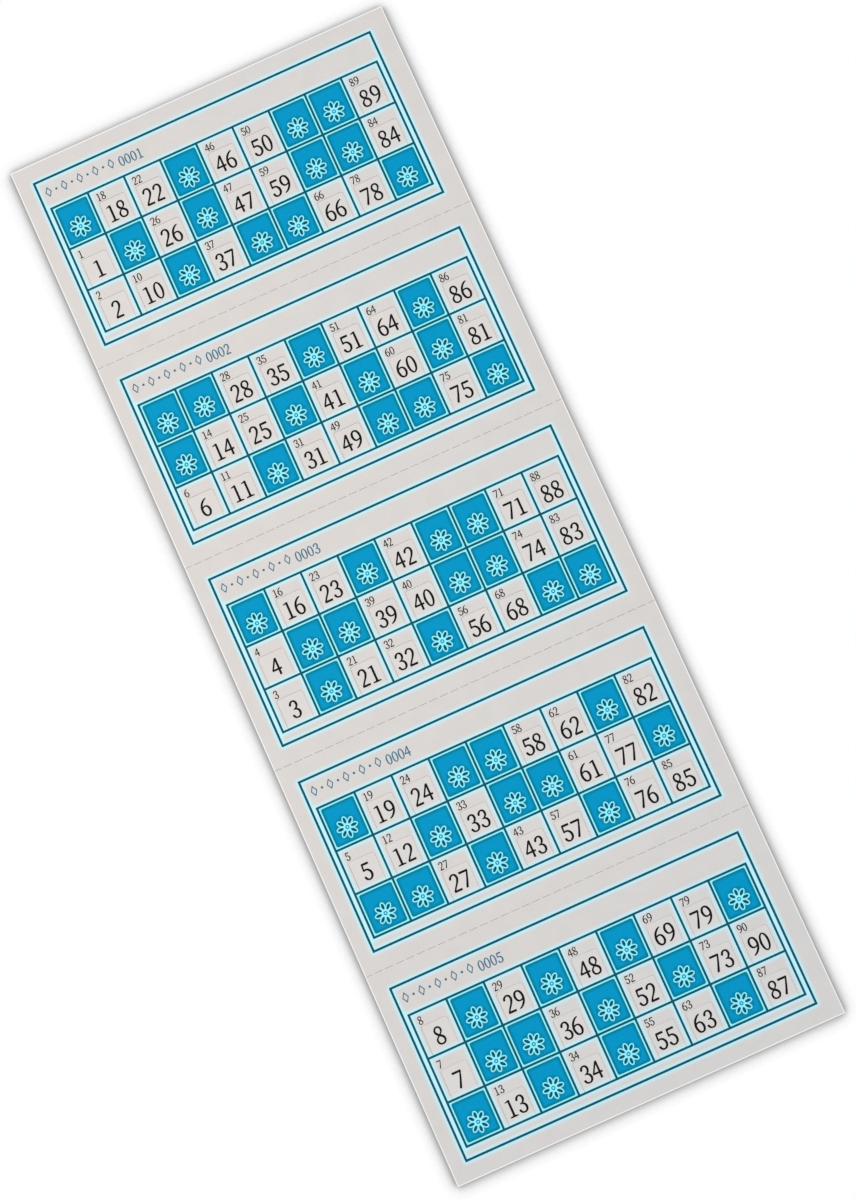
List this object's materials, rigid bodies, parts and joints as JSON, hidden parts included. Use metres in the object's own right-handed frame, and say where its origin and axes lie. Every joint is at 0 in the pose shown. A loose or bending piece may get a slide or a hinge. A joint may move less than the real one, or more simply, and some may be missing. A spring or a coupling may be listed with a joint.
{
  "type": "bingo card strip",
  "caption": "Flat strip of light-board bingo cards parted by perforated fold lines, each called number on a die-cut flap that folds back.",
  "frame": {"origin": "middle of the strip's back face, on the surface that it lies on", "axes": "+Z out of the printed face, +Y along the strip towards the first card, +X to the right of the printed numbers"},
  "size_m": [0.148, 0.395, 0.0004],
  "materials": {
    "printed_board": "matte",
    "flap_board": "matte",
    "blue_ink": "matte",
    "black_ink": "matte",
    "header_ink": "matte"
  },
  "bodies": {
    "card_1": {"card_1": "printed_board"},
    "card_2": {"card_2": "printed_board"},
    "card_3": {"card_3": "printed_board"},
    "card_4": {"card_4": "printed_board"},
    "card_5": {"card_5": "printed_board"},
    "flap_18": {"flap_18": "flap_board"},
    "flap_22": {"flap_22": "flap_board"},
    "flap_46": {"flap_46": "flap_board"},
    "flap_50": {"flap_50": "flap_board"},
    "flap_89": {"flap_89": "flap_board"},
    "flap_1": {"flap_1": "flap_board"},
    "flap_26": {"flap_26": "flap_board"},
    "flap_47": {"flap_47": "flap_board"},
    "flap_59": {"flap_59": "flap_board"},
    "flap_84": {"flap_84": "flap_board"},
    "flap_28": {"flap_28": "flap_board"},
    "flap_35": {"flap_35": "flap_board"},
    "flap_51": {"flap_51": "flap_board"},
    "flap_64": {"flap_64": "flap_board"},
    "flap_86": {"flap_86": "flap_board"},
    "flap_14": {"flap_14": "flap_board"},
    "flap_25": {"flap_25": "flap_board"},
    "flap_41": {"flap_41": "flap_board"},
    "flap_60": {"flap_60": "flap_board"},
    "flap_81": {"flap_81": "flap_board"},
    "flap_16": {"flap_16": "flap_board"},
    "flap_23": {"flap_23": "flap_board"},
    "flap_42": {"flap_42": "flap_board"},
    "flap_71": {"flap_71": "flap_board"},
    "flap_88": {"flap_88": "flap_board"},
    "flap_4": {"flap_4": "flap_board"},
    "flap_39": {"flap_39": "flap_board"},
    "flap_40": {"flap_40": "flap_board"},
    "flap_74": {"flap_74": "flap_board"},
    "flap_83": {"flap_83": "flap_board"},
    "flap_19": {"flap_19": "flap_board"},
    "flap_24": {"flap_24": "flap_board"},
    "flap_58": {"flap_58": "flap_board"},
    "flap_62": {"flap_62": "flap_board"},
    "flap_82": {"flap_82": "flap_board"},
    "flap_5": {"flap_5": "flap_board"},
    "flap_12": {"flap_12": "flap_board"},
    "flap_33": {"flap_33": "flap_board"},
    "flap_61": {"flap_61": "flap_board"},
    "flap_77": {"flap_77": "flap_board"},
    "flap_8": {"flap_8": "flap_board"},
    "flap_29": {"flap_29": "flap_board"},
    "flap_48": {"flap_48": "flap_board"},
    "flap_69": {"flap_69": "flap_board"},
    "flap_79": {"flap_79": "flap_board"},
    "flap_7": {"flap_7": "flap_board"},
    "flap_36": {"flap_36": "flap_board"},
    "flap_52": {"flap_52": "flap_board"},
    "flap_73": {"flap_73": "flap_board"},
    "flap_90": {"flap_90": "flap_board"},
    "card_1_bottom_row_flaps": {"card_1_bottom_row_flaps": "flap_board"},
    "card_2_bottom_row_flaps": {"card_2_bottom_row_flaps": "flap_board"},
    "card_3_bottom_row_flaps": {"card_3_bottom_row_flaps": "flap_board"},
    "card_4_bottom_row_flaps": {"card_4_bottom_row_flaps": "flap_board"},
    "card_5_bottom_row_flaps": {"card_5_bottom_row_flaps": "flap_board"}
  },
  "joints": [
    {"name": "fold_1_2", "type": "hinge", "parent": "card_1", "child": "card_2", "pos_m": [0, 0.1185, 0.00045], "axis": [-1, 0, 0], "range_deg": [0, 180]},
    {"name": "fold_2_3", "type": "hinge", "parent": "card_2", "child": "card_3", "pos_m": [0, 0.0395, -0.00005], "axis": [1, 0, 0], "range_deg": [0, 180]},
    {"name": "fold_3_4", "type": "hinge", "parent": "card_3", "child": "card_4", "pos_m": [0, -0.0395, 0.00045], "axis": [-1, 0, 0], "range_deg": [0, 180]},
    {"name": "fold_4_5", "type": "hinge", "parent": "card_4", "child": "card_5", "pos_m": [0, -0.1185, -0.00005], "axis": [1, 0, 0], "range_deg": [0, 180]},
    {"name": "flap_18_crease", "type": "hinge", "parent": "card_1", "child": "flap_18", "pos_m": [-0.0439, 0.1632, 0], "axis": [1, 0, 0], "range_deg": [-175, 0]},
    {"name": "flap_22_crease", "type": "hinge", "parent": "card_1", "child": "flap_22", "pos_m": [-0.0295, 0.1632, 0], "axis": [1, 0, 0], "range_deg": [-175, 0]},
    {"name": "flap_46_crease", "type": "hinge", "parent": "card_1", "child": "flap_46", "pos_m": [-0.0007, 0.1632, 0], "axis": [1, 0, 0], "range_deg": [-175, 0]},
    {"name": "flap_50_crease", "type": "hinge", "parent": "card_1", "child": "flap_50", "pos_m": [0.0137, 0.1632, 0], "axis": [1, 0, 0], "range_deg": [-175, 0]},
    {"name": "flap_89_crease", "type": "hinge", "parent": "card_1", "child": "flap_89", "pos_m": [0.0569, 0.1632, 0], "axis": [1, 0, 0], "range_deg": [-175, 0]},
    {"name": "flap_1_crease", "type": "hinge", "parent": "card_1", "child": "flap_1", "pos_m": [-0.0583, 0.1467, 0], "axis": [1, 0, 0], "range_deg": [-175, 0]},
    {"name": "flap_26_crease", "type": "hinge", "parent": "card_1", "child": "flap_26", "pos_m": [-0.0295, 0.1467, 0], "axis": [1, 0, 0], "range_deg": [-175, 0]},
    {"name": "flap_47_crease", "type": "hinge", "parent": "card_1", "child": "flap_47", "pos_m": [-0.0007, 0.1467, 0], "axis": [1, 0, 0], "range_deg": [-175, 0]},
    {"name": "flap_59_crease", "type": "hinge", "parent": "card_1", "child": "flap_59", "pos_m": [0.0137, 0.1467, 0], "axis": [1, 0, 0], "range_deg": [-175, 0]},
    {"name": "flap_84_crease", "type": "hinge", "parent": "card_1", "child": "flap_84", "pos_m": [0.0569, 0.1467, 0], "axis": [1, 0, 0], "range_deg": [-175, 0]},
    {"name": "flap_28_crease", "type": "hinge", "parent": "card_2", "child": "flap_28", "pos_m": [-0.0295, 0.0842, 0], "axis": [1, 0, 0], "range_deg": [-175, 0]},
    {"name": "flap_35_crease", "type": "hinge", "parent": "card_2", "child": "flap_35", "pos_m": [-0.0151, 0.0842, 0], "axis": [1, 0, 0], "range_deg": [-175, 0]},
    {"name": "flap_51_crease", "type": "hinge", "parent": "card_2", "child": "flap_51", "pos_m": [0.0137, 0.0842, 0], "axis": [1, 0, 0], "range_deg": [-175, 0]},
    {"name": "flap_64_crease", "type": "hinge", "parent": "card_2", "child": "flap_64", "pos_m": [0.0281, 0.0842, 0], "axis": [1, 0, 0], "range_deg": [-175, 0]},
    {"name": "flap_86_crease", "type": "hinge", "parent": "card_2", "child": "flap_86", "pos_m": [0.0569, 0.0842, 0], "axis": [1, 0, 0], "range_deg": [-175, 0]},
    {"name": "flap_14_crease", "type": "hinge", "parent": "card_2", "child": "flap_14", "pos_m": [-0.0439, 0.0677, 0], "axis": [1, 0, 0], "range_deg": [-175, 0]},
    {"name": "flap_25_crease", "type": "hinge", "parent": "card_2", "child": "flap_25", "pos_m": [-0.0295, 0.0677, 0], "axis": [1, 0, 0], "range_deg": [-175, 0]},
    {"name": "flap_41_crease", "type": "hinge", "parent": "card_2", "child": "flap_41", "pos_m": [-0.0007, 0.0677, 0], "axis": [1, 0, 0], "range_deg": [-175, 0]},
    {"name": "flap_60_crease", "type": "hinge", "parent": "card_2", "child": "flap_60", "pos_m": [0.0281, 0.0677, 0], "axis": [1, 0, 0], "range_deg": [-175, 0]},
    {"name": "flap_81_crease", "type": "hinge", "parent": "card_2", "child": "flap_81", "pos_m": [0.0569, 0.0677, 0], "axis": [1, 0, 0], "range_deg": [-175, 0]},
    {"name": "flap_16_crease", "type": "hinge", "parent": "card_3", "child": "flap_16", "pos_m": [-0.0439, 0.0052, 0], "axis": [1, 0, 0], "range_deg": [-175, 0]},
    {"name": "flap_23_crease", "type": "hinge", "parent": "card_3", "child": "flap_23", "pos_m": [-0.0295, 0.0052, 0], "axis": [1, 0, 0], "range_deg": [-175, 0]},
    {"name": "flap_42_crease", "type": "hinge", "parent": "card_3", "child": "flap_42", "pos_m": [-0.0007, 0.0052, 0], "axis": [1, 0, 0], "range_deg": [-175, 0]},
    {"name": "flap_71_crease", "type": "hinge", "parent": "card_3", "child": "flap_71", "pos_m": [0.0425, 0.0052, 0], "axis": [1, 0, 0], "range_deg": [-175, 0]},
    {"name": "flap_88_crease", "type": "hinge", "parent": "card_3", "child": "flap_88", "pos_m": [0.0569, 0.0052, 0], "axis": [1, 0, 0], "range_deg": [-175, 0]},
    {"name": "flap_4_crease", "type": "hinge", "parent": "card_3", "child": "flap_4", "pos_m": [-0.0583, -0.0113, 0], "axis": [1, 0, 0], "range_deg": [-175, 0]},
    {"name": "flap_39_crease", "type": "hinge", "parent": "card_3", "child": "flap_39", "pos_m": [-0.0151, -0.0113, 0], "axis": [1, 0, 0], "range_deg": [-175, 0]},
    {"name": "flap_40_crease", "type": "hinge", "parent": "card_3", "child": "flap_40", "pos_m": [-0.0007, -0.0113, 0], "axis": [1, 0, 0], "range_deg": [-175, 0]},
    {"name": "flap_74_crease", "type": "hinge", "parent": "card_3", "child": "flap_74", "pos_m": [0.0425, -0.0113, 0], "axis": [1, 0, 0], "range_deg": [-175, 0]},
    {"name": "flap_83_crease", "type": "hinge", "parent": "card_3", "child": "flap_83", "pos_m": [0.0569, -0.0113, 0], "axis": [1, 0, 0], "range_deg": [-175, 0]},
    {"name": "flap_19_crease", "type": "hinge", "parent": "card_4", "child": "flap_19", "pos_m": [-0.0439, -0.0738, 0], "axis": [1, 0, 0], "range_deg": [-175, 0]},
    {"name": "flap_24_crease", "type": "hinge", "parent": "card_4", "child": "flap_24", "pos_m": [-0.0295, -0.0738, 0], "axis": [1, 0, 0], "range_deg": [-175, 0]},
    {"name": "flap_58_crease", "type": "hinge", "parent": "card_4", "child": "flap_58", "pos_m": [0.0137, -0.0738, 0], "axis": [1, 0, 0], "range_deg": [-175, 0]},
    {"name": "flap_62_crease", "type": "hinge", "parent": "card_4", "child": "flap_62", "pos_m": [0.0281, -0.0738, 0], "axis": [1, 0, 0], "range_deg": [-175, 0]},
    {"name": "flap_82_crease", "type": "hinge", "parent": "card_4", "child": "flap_82", "pos_m": [0.0569, -0.0738, 0], "axis": [1, 0, 0], "range_deg": [-175, 0]},
    {"name": "flap_5_crease", "type": "hinge", "parent": "card_4", "child": "flap_5", "pos_m": [-0.0583, -0.0903, 0], "axis": [1, 0, 0], "range_deg": [-175, 0]},
    {"name": "flap_12_crease", "type": "hinge", "parent": "card_4", "child": "flap_12", "pos_m": [-0.0439, -0.0903, 0], "axis": [1, 0, 0], "range_deg": [-175, 0]},
    {"name": "flap_33_crease", "type": "hinge", "parent": "card_4", "child": "flap_33", "pos_m": [-0.0151, -0.0903, 0], "axis": [1, 0, 0], "range_deg": [-175, 0]},
    {"name": "flap_61_crease", "type": "hinge", "parent": "card_4", "child": "flap_61", "pos_m": [0.0281, -0.0903, 0], "axis": [1, 0, 0], "range_deg": [-175, 0]},
    {"name": "flap_77_crease", "type": "hinge", "parent": "card_4", "child": "flap_77", "pos_m": [0.0425, -0.0903, 0], "axis": [1, 0, 0], "range_deg": [-175, 0]},
    {"name": "flap_8_crease", "type": "hinge", "parent": "card_5", "child": "flap_8", "pos_m": [-0.0583, -0.1528, 0], "axis": [1, 0, 0], "range_deg": [-175, 0]},
    {"name": "flap_29_crease", "type": "hinge", "parent": "card_5", "child": "flap_29", "pos_m": [-0.0295, -0.1528, 0], "axis": [1, 0, 0], "range_deg": [-175, 0]},
    {"name": "flap_48_crease", "type": "hinge", "parent": "card_5", "child": "flap_48", "pos_m": [-0.0007, -0.1528, 0], "axis": [1, 0, 0], "range_deg": [-175, 0]},
    {"name": "flap_69_crease", "type": "hinge", "parent": "card_5", "child": "flap_69", "pos_m": [0.0281, -0.1528, 0], "axis": [1, 0, 0], "range_deg": [-175, 0]},
    {"name": "flap_79_crease", "type": "hinge", "parent": "card_5", "child": "flap_79", "pos_m": [0.0425, -0.1528, 0], "axis": [1, 0, 0], "range_deg": [-175, 0]},
    {"name": "flap_7_crease", "type": "hinge", "parent": "card_5", "child": "flap_7", "pos_m": [-0.0583, -0.1693, 0], "axis": [1, 0, 0], "range_deg": [-175, 0]},
    {"name": "flap_36_crease", "type": "hinge", "parent": "card_5", "child": "flap_36", "pos_m": [-0.0151, -0.1693, 0], "axis": [1, 0, 0], "range_deg": [-175, 0]},
    {"name": "flap_52_crease", "type": "hinge", "parent": "card_5", "child": "flap_52", "pos_m": [0.0137, -0.1693, 0], "axis": [1, 0, 0], "range_deg": [-175, 0]},
    {"name": "flap_73_crease", "type": "hinge", "parent": "card_5", "child": "flap_73", "pos_m": [0.0425, -0.1693, 0], "axis": [1, 0, 0], "range_deg": [-175, 0]},
    {"name": "flap_90_crease", "type": "hinge", "parent": "card_5", "child": "flap_90", "pos_m": [0.0569, -0.1693, 0], "axis": [1, 0, 0], "range_deg": [-175, 0]},
    {"name": "card_1_bottom_row_crease", "type": "hinge", "parent": "card_1", "child": "card_1_bottom_row_flaps", "pos_m": [0, 0.1302, 0], "axis": [1, 0, 0], "range_deg": [-175, 0]},
    {"name": "card_2_bottom_row_crease", "type": "hinge", "parent": "card_2", "child": "card_2_bottom_row_flaps", "pos_m": [0, 0.0512, 0], "axis": [1, 0, 0], "range_deg": [-175, 0]},
    {"name": "card_3_bottom_row_crease", "type": "hinge", "parent": "card_3", "child": "card_3_bottom_row_flaps", "pos_m": [0, -0.0278, 0], "axis": [1, 0, 0], "range_deg": [-175, 0]},
    {"name": "card_4_bottom_row_crease", "type": "hinge", "parent": "card_4", "child": "card_4_bottom_row_flaps", "pos_m": [0, -0.1068, 0], "axis": [1, 0, 0], "range_deg": [-175, 0]},
    {"name": "card_5_bottom_row_crease", "type": "hinge", "parent": "card_5", "child": "card_5_bottom_row_flaps", "pos_m": [0, -0.1858, 0], "axis": [1, 0, 0], "range_deg": [-175, 0]}
  ]
}
